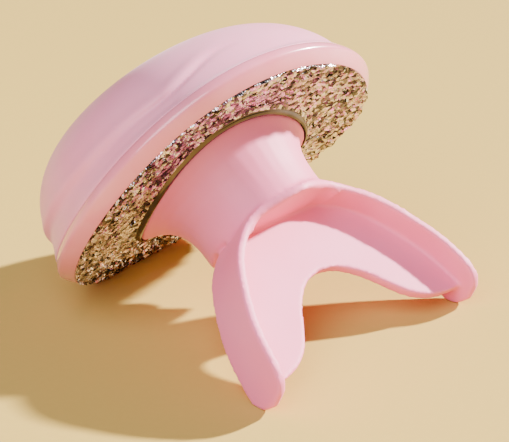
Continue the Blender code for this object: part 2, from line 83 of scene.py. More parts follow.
# %% Set up the camera
CAMERA_PLACE = (-0.216047, -0.222819, 0.158037)
CAMERA_TURN_DEG = (65.7616, 1.6673, -45.575)
LENS_MM = 113.16
camera_data = bpy.data.cameras.new("camera")
camera_data.lens = LENS_MM
camera_data.clip_start = 0.01
camera_data.clip_end = 20.0
camera = bpy.data.objects.new("camera", camera_data)
camera.location = CAMERA_PLACE
camera.rotation_euler = [math.radians(a) for a in CAMERA_TURN_DEG]
bpy.context.scene.collection.objects.link(camera)
bpy.context.scene.camera = camera
print("lens", LENS_MM, "mm")

# %% [markdown]
# ## Helpers for materials
#
# Colours are written as the hex values a painter would pick on a screen, and one function turns them to
# the linear numbers a shader works in. Another adds a node with its settings and links in one call.

# %% Colour and node helpers


def colour(code):
    """An sRGB hex colour as linear red, green, blue and alpha."""
    parts = [int(code[i:i + 2], 16) / 255 for i in (0, 2, 4)]
    return tuple(p / 12.92 if p <= 0.04045 else ((p + 0.055) / 1.055) ** 2.4 for p in parts) + (1.0,)


def add_node(tree, kind, settings=None, values=None, links=None, stops=()):
    """A node with its settings, its socket values, what each linked socket comes from, and its stops."""
    node = tree.nodes.new(kind)
    for key, value in (settings or {}).items():
        setattr(node, key, value)
    for key, value in (values or {}).items():
        node.inputs[key].default_value = value
    for key, source in (links or {}).items():
        tree.links.new(source, node.inputs[key])
    for number, (place, value) in enumerate(stops):
        band = node.color_ramp.elements
        element = band[number] if number < len(band) else band.new(place)
        element.position = place
        element.color = value
    return node


def new_material(name, **sockets):
    """A material, its tree and its shader, with plain values set on the shader's own sockets."""
    made = bpy.data.materials.new(name)
    made.use_nodes = True
    tree = made.node_tree
    shader = tree.nodes["Principled BSDF"]
    for key, value in sockets.items():
        shader.inputs[key.replace("_", " ")].default_value = value
    return made, tree, shader


def per_mm(spacing):
    """The texture scale that repeats every so many millimetres."""
    return 1.0 / (spacing * MM)


print("pink:", [round(v, 3) for v in colour("F2B8C6")[:3]])

# %% [markdown]
# ## Materials of the outside
#
# The dome is cast liquid silicone rubber: soft, faintly translucent, with a fine etched skin that gives a
# wide, weak highlight. The rim is injection-moulded ABS from a polished tool, so it gets a narrow
# highlight. The handle is the same ABS from a finely blasted tool: satin, with a grain under 0.1 mm.

# %% Silicone for the dome
dome_silicone, tree, shader = new_material(
    "liquid_silicone_rubber_pink", IOR=1.41, Subsurface_Weight=0.12, Subsurface_Scale=0.0025,
    Subsurface_Radius=(1.0, 0.45, 0.4), Sheen_Weight=0.18, Sheen_Roughness=0.45, Coat_Weight=0.0)
shader.inputs["Sheen Tint"].default_value = colour("FFEFF4")
# Cast pigment clouds, about 14 mm across, too faint to see one by one
spots = add_node(tree, "ShaderNodeTexCoord").outputs["Object"]
clouds = add_node(tree, "ShaderNodeTexNoise", values={"Scale": per_mm(14.0), "Detail": 2.0},
                  links={"Vector": spots})
shades = add_node(tree, "ShaderNodeValToRGB", links={"Fac": clouds.outputs["Fac"]},
                  stops=[(0.3, colour("F395B4")), (0.7, colour("F6A0BD"))])
tree.links.new(shades.outputs["Color"], shader.inputs["Base Color"])
# The etched skin's real grain is 0.05 mm; it is drawn at 0.35 mm so that it shows
grain = add_node(tree, "ShaderNodeTexNoise", values={"Scale": per_mm(0.35), "Detail": 3.0},
                 links={"Vector": spots})
rough = add_node(tree, "ShaderNodeMapRange", values={"To Min": 0.36, "To Max": 0.5},
                 links={"Value": grain.outputs["Fac"]})
tree.links.new(rough.outputs["Result"], shader.inputs["Roughness"])
skin = add_node(tree, "ShaderNodeBump", values={"Strength": 0.12, "Distance": 0.02 * MM},
                links={"Height": grain.outputs["Fac"]})
tree.links.new(skin.outputs["Normal"], shader.inputs["Normal"])
print("made", dome_silicone.name)

# %% Polished ABS for the rim and the button
rim_abs, tree, shader = new_material(
    "polished_abs_pink", IOR=1.54, Coat_Weight=0.7, Coat_Roughness=0.06, Coat_IOR=1.5,
    Subsurface_Weight=0.06, Subsurface_Scale=0.0015)
shader.inputs["Subsurface Radius"].default_value = (1.0, 0.4, 0.35)
spots = add_node(tree, "ShaderNodeTexCoord").outputs["Object"]
# Flow of the melt round the ring, about 9 mm across
flow = add_node(tree, "ShaderNodeTexNoise", values={"Scale": per_mm(9.0), "Detail": 3.0, "Distortion": 0.6},
                links={"Vector": spots})
shades = add_node(tree, "ShaderNodeValToRGB", links={"Fac": flow.outputs["Fac"]},
                  stops=[(0.3, colour("F0869E")), (0.7, colour("F392A8"))])
tree.links.new(shades.outputs["Color"], shader.inputs["Base Color"])
wipe = add_node(tree, "ShaderNodeTexNoise", values={"Scale": per_mm(3.0), "Detail": 5.0, "Roughness": 0.7},
                links={"Vector": spots})
rough = add_node(tree, "ShaderNodeMapRange", values={"To Min": 0.2, "To Max": 0.3},
                 links={"Value": wipe.outputs["Fac"]})
tree.links.new(rough.outputs["Result"], shader.inputs["Roughness"])
print("made", rim_abs.name)

# %% Satin ABS for the handle
handle_abs, tree, shader = new_material(
    "blasted_abs_pink", IOR=1.54, Subsurface_Weight=0.1, Subsurface_Scale=0.002, Sheen_Weight=0.08,
    Sheen_Roughness=0.5)
shader.inputs["Subsurface Radius"].default_value = (1.0, 0.4, 0.35)
spots = add_node(tree, "ShaderNodeTexCoord").outputs["Object"]
flow = add_node(tree, "ShaderNodeTexNoise", values={"Scale": per_mm(18.0), "Detail": 2.0},
                links={"Vector": spots})
shades = add_node(tree, "ShaderNodeValToRGB", links={"Fac": flow.outputs["Fac"]},
                  stops=[(0.3, colour("F1769F")), (0.7, colour("F583AB"))])
tree.links.new(shades.outputs["Color"], shader.inputs["Base Color"])
# The blasted tool's grain is under 0.1 mm; it is drawn at 0.3 mm so that it shows
grain = add_node(tree, "ShaderNodeTexNoise", values={"Scale": per_mm(0.3), "Detail": 4.0},
                 links={"Vector": spots})
rough = add_node(tree, "ShaderNodeMapRange", values={"To Min": 0.5, "To Max": 0.62},
                 links={"Value": grain.outputs["Fac"]})
tree.links.new(rough.outputs["Result"], shader.inputs["Roughness"])
skin = add_node(tree, "ShaderNodeBump", values={"Strength": 0.1, "Distance": 0.015 * MM},
                links={"Height": grain.outputs["Fac"]})
tree.links.new(skin.outputs["Normal"], shader.inputs["Normal"])
print("made", handle_abs.name)

# %% [markdown]
# The back shell is ABS with a vacuum-metallised rose-gold skin. Where the foil is crumpled every facet
# mirrors a different part of the room, so most of the sparkle comes from real facets in the mesh. The
# colour runs from near black over champagne to white and pink, from one facet to the next: champagne is the
# foil's own tone, the near-black facets are painted dark reflections and the white and pink ones painted
# glints.

# %% Crumpled and polished rose gold
foil, tree, shader = new_material("metallised_rose_gold_foil", Metallic=1.0)
spots = add_node(tree, "ShaderNodeTexCoord").outputs["Object"]
flakes = add_node(tree, "ShaderNodeTexVoronoi", values={"Scale": per_mm(0.9), "Randomness": 1.0},
                  links={"Vector": spots})
tone = add_node(tree, "ShaderNodeSeparateColor", links={"Color": flakes.outputs["Color"]})
# Painted reflections: near-black flakes paint dark reflections, white and pink flakes paint glints; champagne
# is the foil's own tone
shades = add_node(tree, "ShaderNodeValToRGB", links={"Fac": tone.outputs["Red"]}, stops=[
    (0.0, colour("1F1C1D")), (0.25, colour("4B4345")), (0.45, colour("8C807F")),
    (0.65, colour("D5CBC9")), (0.85, colour("FFFFFF")), (1.0, colour("D79FB0"))])
tree.links.new(shades.outputs["Color"], shader.inputs["Base Color"])
rough = add_node(tree, "ShaderNodeMapRange", values={"To Min": 0.08, "To Max": 0.3},
                 links={"Value": tone.outputs["Green"]})
tree.links.new(rough.outputs["Result"], shader.inputs["Roughness"])
# Fine creases inside each facet, 0.5 mm apart
creases = add_node(tree, "ShaderNodeTexVoronoi", {"feature": "F1"}, {"Scale": per_mm(0.5)}, {"Vector": spots})
fold = add_node(tree, "ShaderNodeBump", values={"Strength": 0.8, "Distance": 0.2 * MM},
                links={"Height": creases.outputs["Distance"]})
tree.links.new(fold.outputs["Normal"], shader.inputs["Normal"])

collar_gold, tree, shader = new_material("polished_rose_gold", Metallic=1.0)
spots = add_node(tree, "ShaderNodeTexCoord").outputs["Object"]
haze = add_node(tree, "ShaderNodeTexNoise", values={"Scale": per_mm(6.0), "Detail": 4.0},
                links={"Vector": spots})
rough = add_node(tree, "ShaderNodeMapRange", values={"To Min": 0.08, "To Max": 0.16},
                 links={"Value": haze.outputs["Fac"]})
tree.links.new(rough.outputs["Result"], shader.inputs["Roughness"])
# Painted dark reflection: the rose gold is darkened to brown-grey so that the collar looks as if it mirrored
# dark surroundings
shades = add_node(tree, "ShaderNodeValToRGB", links={"Fac": haze.outputs["Fac"]},
                  stops=[(0.3, colour("4C4241")), (0.7, colour("6B5E5C"))])
tree.links.new(shades.outputs["Color"], shader.inputs["Base Color"])
print("made", foil.name, "and", collar_gold.name)

# %% [markdown]
# ## Building helpers
#
# A turned piece is a profile carried round the z axis. The rim is bowed, rising and falling twice on its
# way round, so each piece of the head passes through the same small rule that lifts its points.

# %% The bowed rim and turned surfaces
RIM_TOP = 4.6
BOW = 2.2
BOW_TURN_DEG = -17.5
NECK_TOP_RADIUS = 20.7


def bow_at(x, y):
    """How far the bow lifts a point towards the dome, in mm."""
    radius = math.hypot(x, y)
    turn = math.radians(BOW_TURN_DEG)
    across = x * math.cos(turn) + y * math.sin(turn)
    upright = y * math.cos(turn) - x * math.sin(turn)
    fade = min(1.0, radius / NECK_TOP_RADIUS) ** 2
    return BOW * fade * (upright ** 2 - across ** 2) / max(radius, 0.001) ** 2


def add_piece(name, mesh, material, body="housing"):
    """A finished piece: one object at the origin, smooth, that rides on its body."""
    piece = bpy.data.objects.new(name, mesh)
    bpy.context.scene.collection.objects.link(piece)
    mesh.materials.clear()
    mesh.materials.append(material)
    mesh.shade_smooth()
    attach(piece, body)
    return piece


def turned_mesh(name, profile, steps, rule, closed=True):
    """A closed surface from (radius, z) points turned round z, each point passed through the rule."""
    mesh = bpy.data.meshes.new(name)
    rings = []
    points = []
    for radius, z in profile:
        if radius < 1e-6:
            rings.append([len(points)])
            points.append(placed(*rule(0.0, 0.0, z)))
            continue
        rings.append(list(range(len(points), len(points) + steps)))
        for i in range(steps):
            angle = 2 * math.pi * i / steps
            points.append(placed(*rule(radius * math.cos(angle), radius * math.sin(angle), z)))
    pairs = list(zip(rings, rings[1:]))
    if closed:
        pairs.append((rings[-1], rings[0]))
    faces = []
    for a, b in pairs:
        for i in range(steps):
            j = (i + 1) % steps
            face = [a[i % len(a)], a[j % len(a)], b[j % len(b)], b[i % len(b)]]
            faces.append(tuple(dict.fromkeys(face)))
    mesh.from_pydata(points, [], [f for f in faces if len(f) > 2])
    bm = bmesh.new()
    bm.from_mesh(mesh)
    bmesh.ops.recalc_face_normals(bm, faces=bm.faces)
    bm.to_mesh(mesh)
    bm.free()
    return mesh


print("bow at the side:", round(bow_at(37.0, 0.0), 2), "mm")

# %% [markdown]
# ## Dome
#
# The dome is one silicone skin, pulled over a rigid core and held by the rim. Near its edge the skin
# keeps a soft fold where it was pulled down, and the fold fades out as it goes round. A finely turned
# surface with that fold pressed into it shows it best, because a bump texture would leave the outline
# smooth.

# %% The dome skin
DOME_RADIUS = 37.3
DOME_BASE = RIM_TOP + 0.06
DOME_TOP = 26.0
DOME_SIDE = 0.6
DOME_CROWN = 1.07
DOME_LEAN = 0.2
DOME_BOW_FADE = 7.0
SKIN = 2.0
FLARE = 1.15
FLARE_HEIGHT = 1.5
# The fold: its depth, where along the edge it is measured from, and the height of its valley in mm
FOLD_DEPTH = 0.62
FOLD_START_DEG = -175.0
FOLD_HEIGHT = 3.7
FOLD_DRIFT = 0.8
FOLD_CLIMB = 4.2
FOLD_WIDTH = 1.15
RIDGE_SHARE = 0.55
RIDGE_ABOVE = 1.9
RIDGE_WIDTH = 1.2
DOME_STEPS = 220
OUTER_RINGS = 110
INNER_RINGS = 24


def smoothstep(low, high, value):
    t = min(1.0, max(0.0, (value - low) / (high - low)))
    return t * t * (3 - 2 * t)


def fold_at(x, y, height):
    """How far the fold moves the skin outwards, in mm, at this height over the rim."""
    along = (math.degrees(math.atan2(y, x)) - FOLD_START_DEG + 180.0) % 360.0 - 180.0
    middle = (FOLD_HEIGHT + FOLD_DRIFT * smoothstep(10.0, 38.0, along)
              + FOLD_CLIMB * smoothstep(40.0, 72.0, along))
    strength = smoothstep(-75.0, -25.0, along) * smoothstep(82.0, 58.0, along)
    sharp = smoothstep(25.0, 50.0, along)
    offset = height - middle
    valley = math.exp(-(offset / (FOLD_WIDTH - 0.5 * sharp)) ** 2) * (0.75 + 0.35 * sharp)
    ridge = RIDGE_SHARE * math.exp(-((offset - RIDGE_ABOVE) / RIDGE_WIDTH) ** 2)
    return FOLD_DEPTH * strength * (ridge - valley)


def flare_at(height):
    """How far the skin's edge is pressed outwards where it meets the rim, in mm."""
    return FLARE * math.exp(-(max(height, 0.0) / FLARE_HEIGHT) ** 2)


def shape_dome(x, y, z):
    height = max(z - RIM_TOP, 0.0)
    fade = max(0.0, 1.0 - height / DOME_BOW_FADE) ** 2
    radius = max(math.hypot(x, y), 0.001)
    outside = smoothstep(12.0, 30.0, radius)
    grow = 1.0 + (fold_at(x, y, height) + flare_at(z - DOME_BASE)) * outside / radius
    return x * grow, y * grow + DOME_LEAN * height, z + bow_at(x, y) * fade


def dome_line(radius, base, top, count):
    angles = [math.radians(90.0 * (1 - i / count)) for i in range(count + 1)]
    line = [(radius * math.cos(a) ** DOME_SIDE, base + (top - base) * math.sin(a) ** DOME_CROWN)
            for a in angles]
    line[0] = (0.0, top)
    return line


outer = dome_line(DOME_RADIUS, DOME_BASE, DOME_TOP, OUTER_RINGS)
inner = dome_line(DOME_RADIUS - SKIN, DOME_BASE, DOME_TOP - SKIN, INNER_RINGS)
dome_mesh = turned_mesh("dome_skin", outer + inner[::-1], DOME_STEPS, shape_dome, closed=False)
dome = add_piece("dome_skin", dome_mesh, dome_silicone)
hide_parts("scrub_dome")
print("dome faces:", len(dome_mesh.polygons))

# %% [markdown]
# ## Rim band
#
# The rim is one moulded band whose section never changes, so it follows a rule: carry one section round
# a circle that waves up and down. Geometry Nodes do that well. A circle gets the wave by Set Position,
# and Curve to Mesh carries the rounded section along it.

# %% The rim band by Geometry Nodes
RIM_LINE_RADIUS = 37.0
RIM_STEPS = 220
RIM_SECTION = [(1.45, 4.6), (1.75, 4.35), (2.05, 3.9), (2.28, 3.4), (2.4, 3.0), (2.42, 2.72), (2.33, 2.42),
               (2.1, 2.08), (1.6, 1.45), (1.0, 0.8), (0.45, 0.28), (0.15, 0.06), (0.0, 0.1), (-0.12, 0.6),
               (-0.2, 3.2), (-3.6, 3.2), (-3.6, 4.6)]


def node_input(group, name, kind, value):
    """Adds a named input to a node group and gives its identifier."""
    socket = group.interface.new_socket(name=name, in_out="INPUT", socket_type=kind)
    if value is not None:
        socket.default_value = value
    return socket.identifier


def new_group(name):
    group = bpy.data.node_groups.new(name, "GeometryNodeTree")
    group.interface.new_socket(name="Geometry", in_out="INPUT", socket_type="NodeSocketGeometry")
    group.interface.new_socket(name="Geometry", in_out="OUTPUT", socket_type="NodeSocketGeometry")
    return group


def grown_mesh(name, group, inputs, start=None):
    """Runs a node group on a mesh and gives the result as a plain mesh."""
    holder = bpy.data.objects.new(name + "_holder", start or bpy.data.meshes.new(name + "_start"))
    bpy.context.scene.collection.objects.link(holder)
    modifier = holder.modifiers.new("Grow", "NODES")
    modifier.node_group = group
    for identifier, value in inputs.items():
        modifier[identifier] = value
    holder.update_tag()
    graph = bpy.context.evaluated_depsgraph_get()
    graph.update()
    mesh = bpy.data.meshes.new_from_object(holder.evaluated_get(graph))
    mesh.name = name
    bpy.data.objects.remove(holder)
    return mesh


def settle(mesh):
    """Moves a mesh made in the scrubber's own axes, in metres, to its place, and turns its faces out."""
    bm = bmesh.new()
    bm.from_mesh(mesh)
    bmesh.ops.remove_doubles(bm, verts=bm.verts, dist=0.002 * MM)
    bmesh.ops.recalc_face_normals(bm, faces=bm.faces)
    bm.transform(OWN_AXES)
    bm.to_mesh(mesh)
    bm.free()
    return mesh


def wave_group():
    """A circle that waves twice on its way round, swept with a closed section made of its own points."""
    group = new_group("waved_band")
    radius = node_input(group, "Radius", "NodeSocketFloat", RIM_LINE_RADIUS * MM)
    wave = node_input(group, "Wave height", "NodeSocketFloat", BOW * MM)
    turn = node_input(group, "Wave turn", "NodeSocketFloat", math.radians(BOW_TURN_DEG))
    steps = node_input(group, "Steps", "NodeSocketInt", RIM_STEPS)
    section = node_input(group, "Section", "NodeSocketObject", None)
    look = node_input(group, "Material", "NodeSocketMaterial", None)
    given = add_node(group, "NodeGroupInput").outputs
    ring = add_node(group, "GeometryNodeCurvePrimitiveCircle",
                    links={"Resolution": given["Steps"], "Radius": given["Radius"]})
    place = add_node(group, "GeometryNodeInputPosition")
    parts = add_node(group, "ShaderNodeSeparateXYZ", links={"Vector": place.outputs["Position"]})
    angle = add_node(group, "ShaderNodeMath", {"operation": "ARCTAN2"},
                     links={0: parts.outputs["Y"], 1: parts.outputs["X"]})
    turned = add_node(group, "ShaderNodeMath", {"operation": "SUBTRACT"},
                      links={0: angle.outputs[0], 1: given["Wave turn"]})
    double = add_node(group, "ShaderNodeMath", {"operation": "MULTIPLY"}, {1: 2.0}, {0: turned.outputs[0]})
    cosine = add_node(group, "ShaderNodeMath", {"operation": "COSINE"}, links={0: double.outputs[0]})
    down = add_node(group, "ShaderNodeMath", {"operation": "MULTIPLY"}, {1: -1.0}, {0: cosine.outputs[0]})
    lift = add_node(group, "ShaderNodeMath", {"operation": "MULTIPLY"},
                    links={0: down.outputs[0], 1: given["Wave height"]})
    offset = add_node(group, "ShaderNodeCombineXYZ", links={"Z": lift.outputs[0]})
    waved = add_node(group, "GeometryNodeSetPosition",
                     links={"Geometry": ring.outputs["Curve"], "Offset": offset.outputs[0]})
    upright = add_node(group, "GeometryNodeSetCurveNormal", {"mode": "Z_UP"},
                       links={"Curve": waved.outputs[0]})
    outline = add_node(group, "GeometryNodeObjectInfo", links={"Object": given["Section"]})
    band = add_node(group, "GeometryNodeCurveToMesh",
                    links={"Curve": upright.outputs[0], "Profile Curve": outline.outputs["Geometry"]})
    real = add_node(group, "GeometryNodeRealizeInstances", links={"Geometry": band.outputs[0]})
    dressed = add_node(group, "GeometryNodeSetMaterial",
                       links={"Geometry": real.outputs[0], "Material": given["Material"]})
    add_node(group, "NodeGroupOutput", links={"Geometry": dressed.outputs[0]})
    return group, {"radius": radius, "wave": wave, "turn": turn, "steps": steps, "section": section,
                   "look": look}


def section_curve(name, points):
    """A closed flat curve in x and y, in metres, as the section of a sweep."""
    curve = bpy.data.curves.new(name, "CURVE")
    spline = curve.splines.new("POLY")
    spline.points.add(len(points) - 1)
    for point, (u, v) in zip(spline.points, points):
        point.co = (u * MM, v * MM, 0.0, 1.0)
    spline.use_cyclic_u = True
    outline = bpy.data.objects.new(name, curve)
    bpy.context.scene.collection.objects.link(outline)
    return outline


section = section_curve("rim_section", [(u, -v) for u, v in RIM_SECTION])
band_group, sockets = wave_group()
rim_mesh = grown_mesh("rim_band", band_group, {
    sockets["radius"]: RIM_LINE_RADIUS * MM, sockets["wave"]: BOW * MM,
    sockets["turn"]: math.radians(BOW_TURN_DEG), sockets["steps"]: RIM_STEPS,
    sockets["section"]: section, sockets["look"]: rim_abs})
bpy.data.objects.remove(section)
radii = [math.hypot(v.co.x, v.co.y) for v in rim_mesh.vertices]
print("rim from", round(min(radii) / MM, 2), "to", round(max(radii) / MM, 2), "mm radius")
rim = add_piece("rim_band", settle(rim_mesh), rim_abs)
rim_mesh.set_sharp_from_angle(angle=math.radians(50.0))
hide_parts("rim_ring")

# %% [markdown]
# ## Back shell
#
# The crumple has facets of under a millimetre, tilted every way. Real foil is creased along straight
# folds, so flat triangles between scattered points are the honest shape, and a normal map would not give
# the ragged outline that the real edge has. The polished collar inside it is a smooth turned dish.

# %% The crumpled foil
FOIL_INNER = 22.0
FOIL_OUTER = 37.0
FACET = 0.72
CRUMPLE = 0.75
CALM_INNER = 1.6
SLIP = 0.42
FOIL_MIDDLE = 31.0
FOIL_THICK = 0.35
DRIFT_SIZE = 3.5
DRIFT_SHARE = 0.6
BACK_LINE = [(20.9, -0.35), (21.3, -0.3), (22.0, 0.45), (22.8, 0.95), (23.8, 1.2), (24.6, 1.25), (25.6, 1.2),
             (29.5, 0.9), (33.5, 0.4), (36.95, 0.05)]


def back_height(radius):
    """The back shell's outer surface over the rim plane, before the bow, in mm."""
    for (r0, z0), (r1, z1) in zip(BACK_LINE, BACK_LINE[1:]):
        if radius <= r1:
            return z0 + (z1 - z0) * (radius - r0) / (r1 - r0)
    return BACK_LINE[-1][1]


def foil_mesh():
    """Scattered points on the ring, lifted at random, joined by flat triangles, closed by a flat back."""
    dice = random.Random(7)
    bm = bmesh.new()
    ring_count = round((FOIL_OUTER - FOIL_INNER) / FACET)
    around = round(2 * math.pi * FOIL_MIDDLE / FACET)
    rows = []
    for i in range(ring_count + 1):
        row = []
        for j in range(around):
            edge = i in (0, ring_count)
            slip = 0.0 if edge else SLIP
            radius = FOIL_INNER + (i + dice.uniform(-slip, slip)) * (FOIL_OUTER - FOIL_INNER) / ring_count
            angle = 2 * math.pi * (j + dice.uniform(-SLIP, SLIP) + 0.5 * (i % 2)) / around
            x = radius * math.cos(angle)
            y = radius * math.sin(angle)
            drift = noise.noise(Vector((x, y, 3.0)) / DRIFT_SIZE)
            calm = 0.12 + 0.88 * smoothstep(0.0, CALM_INNER, radius - FOIL_INNER)
            lift = CRUMPLE * calm * (dice.random() + DRIFT_SHARE * drift)
            row.append(bm.verts.new(placed(x, y, back_height(radius) + bow_at(x, y) - lift)))
        rows.append(row)
    under = []
    for radius in (FOIL_OUTER, FOIL_INNER):
        row = []
        for j in range(around):
            angle = 2 * math.pi * j / around
            x = radius * math.cos(angle)
            y = radius * math.sin(angle)
            row.append(bm.verts.new(placed(x, y, back_height(radius) + bow_at(x, y) + FOIL_THICK)))
        under.append(row)
    for a, b in zip(rows, rows[1:]):
        for j in range(around):
            k = (j + 1) % around
            if dice.random() < 0.5:
                bm.faces.new((a[j], a[k], b[k]))
                bm.faces.new((a[j], b[k], b[j]))
            else:
                bm.faces.new((a[j], a[k], b[j]))
                bm.faces.new((a[k], b[k], b[j]))
    for a, b in ((rows[-1], under[0]), (under[0], under[1]), (under[1], rows[0])):
        for j in range(around):
            k = (j + 1) % around
            bm.faces.new((a[j], a[k], b[k], b[j]))
    bmesh.ops.recalc_face_normals(bm, faces=bm.faces)
    mesh = bpy.data.meshes.new("crumpled_foil")
    bm.to_mesh(mesh)
    bm.free()
    return mesh


crumple = add_piece("crumpled_foil", foil_mesh(), foil)
crumple.data.shade_flat()
print("facets:", len(crumple.data.polygons))

# %% The polished collar and the shell behind the foil
COLLAR_STEPS = 180
COLLAR_PROFILE = [(20.95, -0.38), (21.25, -0.42), (21.5, -0.25), (21.75, 0.1), (22.1, 0.62), (22.7, 1.0),
                  (23.7, 1.4), (24.5, 1.6), (26.5, 1.65), (30.0, 1.4), (33.5, 1.0), (36.5, 0.62),
                  (36.5, 1.5), (30.0, 2.8), (25.0, 3.1), (16.3, 3.1), (11.6, 3.1), (11.6, 1.5), (16.3, 1.5),
                  (20.95, 1.5)]


def bowed(x, y, z):
    return x, y, z + bow_at(x, y)


collar_mesh = turned_mesh("polished_collar", COLLAR_PROFILE, COLLAR_STEPS, bowed)
collar = add_piece("polished_collar", collar_mesh, collar_gold)
collar_mesh.set_sharp_from_angle(angle=math.radians(50.0))
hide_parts("glitter_back")
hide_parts("glitter_back")
print("collar faces:", len(collar_mesh.polygons))

# %% [markdown]
# ## Handle
#
# Neck and fluke are one moulding with soft edges everywhere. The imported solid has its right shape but
# crisp edges, so a copy of it is remeshed into small even squares and then relaxed, which rounds every
# edge as the mould does. A smooth strip of wall is added first, to carry the front edge over the arch in
# one sweep. Where the neck runs out into the arch the mesh is relaxed more, for a flowing fillet.

# %% The remeshed and relaxed handle
VOXEL = 0.4
EDGE_PASSES = 6
FILLET_PASSES = 14
WALL = 1.8
ARCH_LINE = [(0.0, -14.5), (10.0, -14.6), (15.5, -17.2), (20.8, -22.0), (25.2, -29.0), (28.4, -36.2)]
ARCH_STEPS = 12
WALL_FRONT = -12.5
WALL_BACK = -9.0
WALL_LEAN = 0.107
LIP_BULGE = 5.9
LIP_SPREAD = 9.0
# The ledge in front of the neck: its heights, half its width, and where it starts to bend with the arch
LEDGE_HEIGHTS = (-17.5, -13.5)
LEDGE_HALF = 14.0
LEDGE_BEND = (-7.0, -10.0)
# The neck's foot: the fillet fades in over the first pair of heights and out over the second
FILLET_TOP = (-8.5, -12.5)
FILLET_FOOT = (-21.0, -17.0)


def arch_curve():
    """The arch's outer line (x, z) from the left lobe over the top to the right lobe."""
    points = [(-x, z) for x, z in ARCH_LINE[:0:-1]] + ARCH_LINE
    line = []
    for i in range(1, len(points) - 2):
        a, b, c, d = points[i - 1:i + 3]
        for step in range(ARCH_STEPS):
            t = step / ARCH_STEPS
            line.append(tuple(0.5 * (2 * q + (r - p) * t + (2 * p - 5 * q + 4 * r - w) * t * t
                                     + (3 * q - p - 3 * r + w) * t ** 3)
                              for p, q, r, w in zip(a, b, c, d)))
    return line


def lip_front(x, z):
    """How far forward the wall's edge runs: it swells over the top of the arch."""
    return WALL_FRONT + WALL_LEAN * z - LIP_BULGE * math.exp(-(x / LIP_SPREAD) ** 2)


def add_arch_band(bm):
    """The smooth strip of wall that carries the edge over the arch, added to the handle's solid."""
    line = arch_curve()
    rings = []
    for i, (x, z) in enumerate(line):
        x0, z0 = line[max(i - 1, 0)]
        x1, z1 = line[min(i + 1, len(line) - 1)]
        length = math.hypot(x1 - x0, z1 - z0)
        inx, inz = (z1 - z0) / length * WALL, -(x1 - x0) / length * WALL
        front = lip_front(x, z)
        rings.append([bm.verts.new(placed(px, py, pz)) for px, py, pz in (
            (x, front, z), (x + inx, front, z + inz), (x + inx, WALL_BACK, z + inz), (x, WALL_BACK, z))])
    made = []
    for a, b in zip(rings, rings[1:]):
        for j in range(4):
            k = (j + 1) % 4
            made.append(bm.faces.new((a[j], a[k], b[k], b[j])))
    made.append(bm.faces.new(rings[0]))
    made.append(bm.faces.new(rings[-1]))
    bmesh.ops.recalc_face_normals(bm, faces=made)


def lower_lip(bm):
    """Bends the ledge in front of the neck down with the arch, away from its middle."""
    line = arch_curve()
    for vert in bm.verts:
        own = OWN_AXES.inverted() @ vert.co / MM
        low, high = LEDGE_HEIGHTS
        if low < own.z < high and own.y < LEDGE_BEND[0] and abs(own.x) < LEDGE_HALF:
            arch = min(line, key=lambda p: abs(p[0] - own.x))[1]
            drop = (arch - ARCH_LINE[0][1]) * smoothstep(*LEDGE_BEND, own.y)
            vert.co = placed(own.x, own.y, own.z + min(drop, 0.0))


def handle_copy():
    """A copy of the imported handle's mesh, joined up, with the arch's smooth edge added."""
    mesh = frame["nodes"]["tail_handle"].data.copy()
    bm = bmesh.new()
    bm.from_mesh(mesh)
    bmesh.ops.remove_doubles(bm, verts=bm.verts, dist=0.001 * MM)
    lower_lip(bm)
    add_arch_band(bm)
    bm.to_mesh(mesh)
    bm.free()
    mesh.materials.clear()
    return mesh


def evaluated_mesh(obj):
    graph = bpy.context.evaluated_depsgraph_get()
    graph.update()
    return bpy.data.meshes.new_from_object(obj.evaluated_get(graph))


def fillet_weight(point):
    """1 where the neck's foot meets the arch, 0 elsewhere."""
    own = OWN_AXES.inverted() @ point / MM
    return smoothstep(*FILLET_TOP, own.z) * smoothstep(*FILLET_FOOT, own.z)


def smoothed(mesh, passes, weights=None):
    """Relaxes the mesh, everywhere or by weight."""
    holder = bpy.data.objects.new("relaxing", mesh)
    bpy.context.scene.collection.objects.link(holder)
    relax = holder.modifiers.new("Relax", "SMOOTH")
    relax.factor = 0.5
    relax.iterations = passes
    if weights is not None:
        group = holder.vertex_groups.new(name="amount")
        for index, weight in enumerate(weights):
            if weight > 0.001:
                group.add([index], weight, "REPLACE")
        relax.vertex_group = "amount"
    result = evaluated_mesh(holder)
    bpy.data.objects.remove(holder)
    return result


holder = bpy.data.objects.new("remeshing", handle_copy())
bpy.context.scene.collection.objects.link(holder)
remesh = holder.modifiers.new("Remesh", "REMESH")
remesh.mode = "VOXEL"
remesh.voxel_size = VOXEL * MM
handle_mesh = evaluated_mesh(holder)
bpy.data.objects.remove(holder)
handle_mesh = smoothed(handle_mesh, EDGE_PASSES)
weights = [fillet_weight(v.co) for v in handle_mesh.vertices]
handle_mesh = smoothed(handle_mesh, FILLET_PASSES, weights)
handle_mesh.name = "fluke_handle"
handle = add_piece("fluke_handle", handle_mesh, handle_abs)
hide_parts("tail_handle")
print("handle faces:", len(handle_mesh.polygons))

# %% [markdown]
# ## Nubs on the dome
#
# The working face of such a dome often carries short round nubs, moulded in one with the skin, on a
# staggered grid. They are all alike, so one nub is instanced on the grid's points by Geometry Nodes. They
# stay on the flat of the crown, so the dome's flanks are smooth.

# %% The nubs by Geometry Nodes
NUB_SPACING = 3.0
NUB_RADIUS = 0.75
NUB_HEIGHT = 0.8
NUB_FIELD = 14.1


def crown_height(radius):
    """The dome's height at a distance from its middle, in mm."""
    cosine = (radius / DOME_RADIUS) ** (1.0 / DOME_SIDE)
    return DOME_BASE + (DOME_TOP - DOME_BASE) * math.sqrt(1.0 - cosine ** 2) ** DOME_CROWN


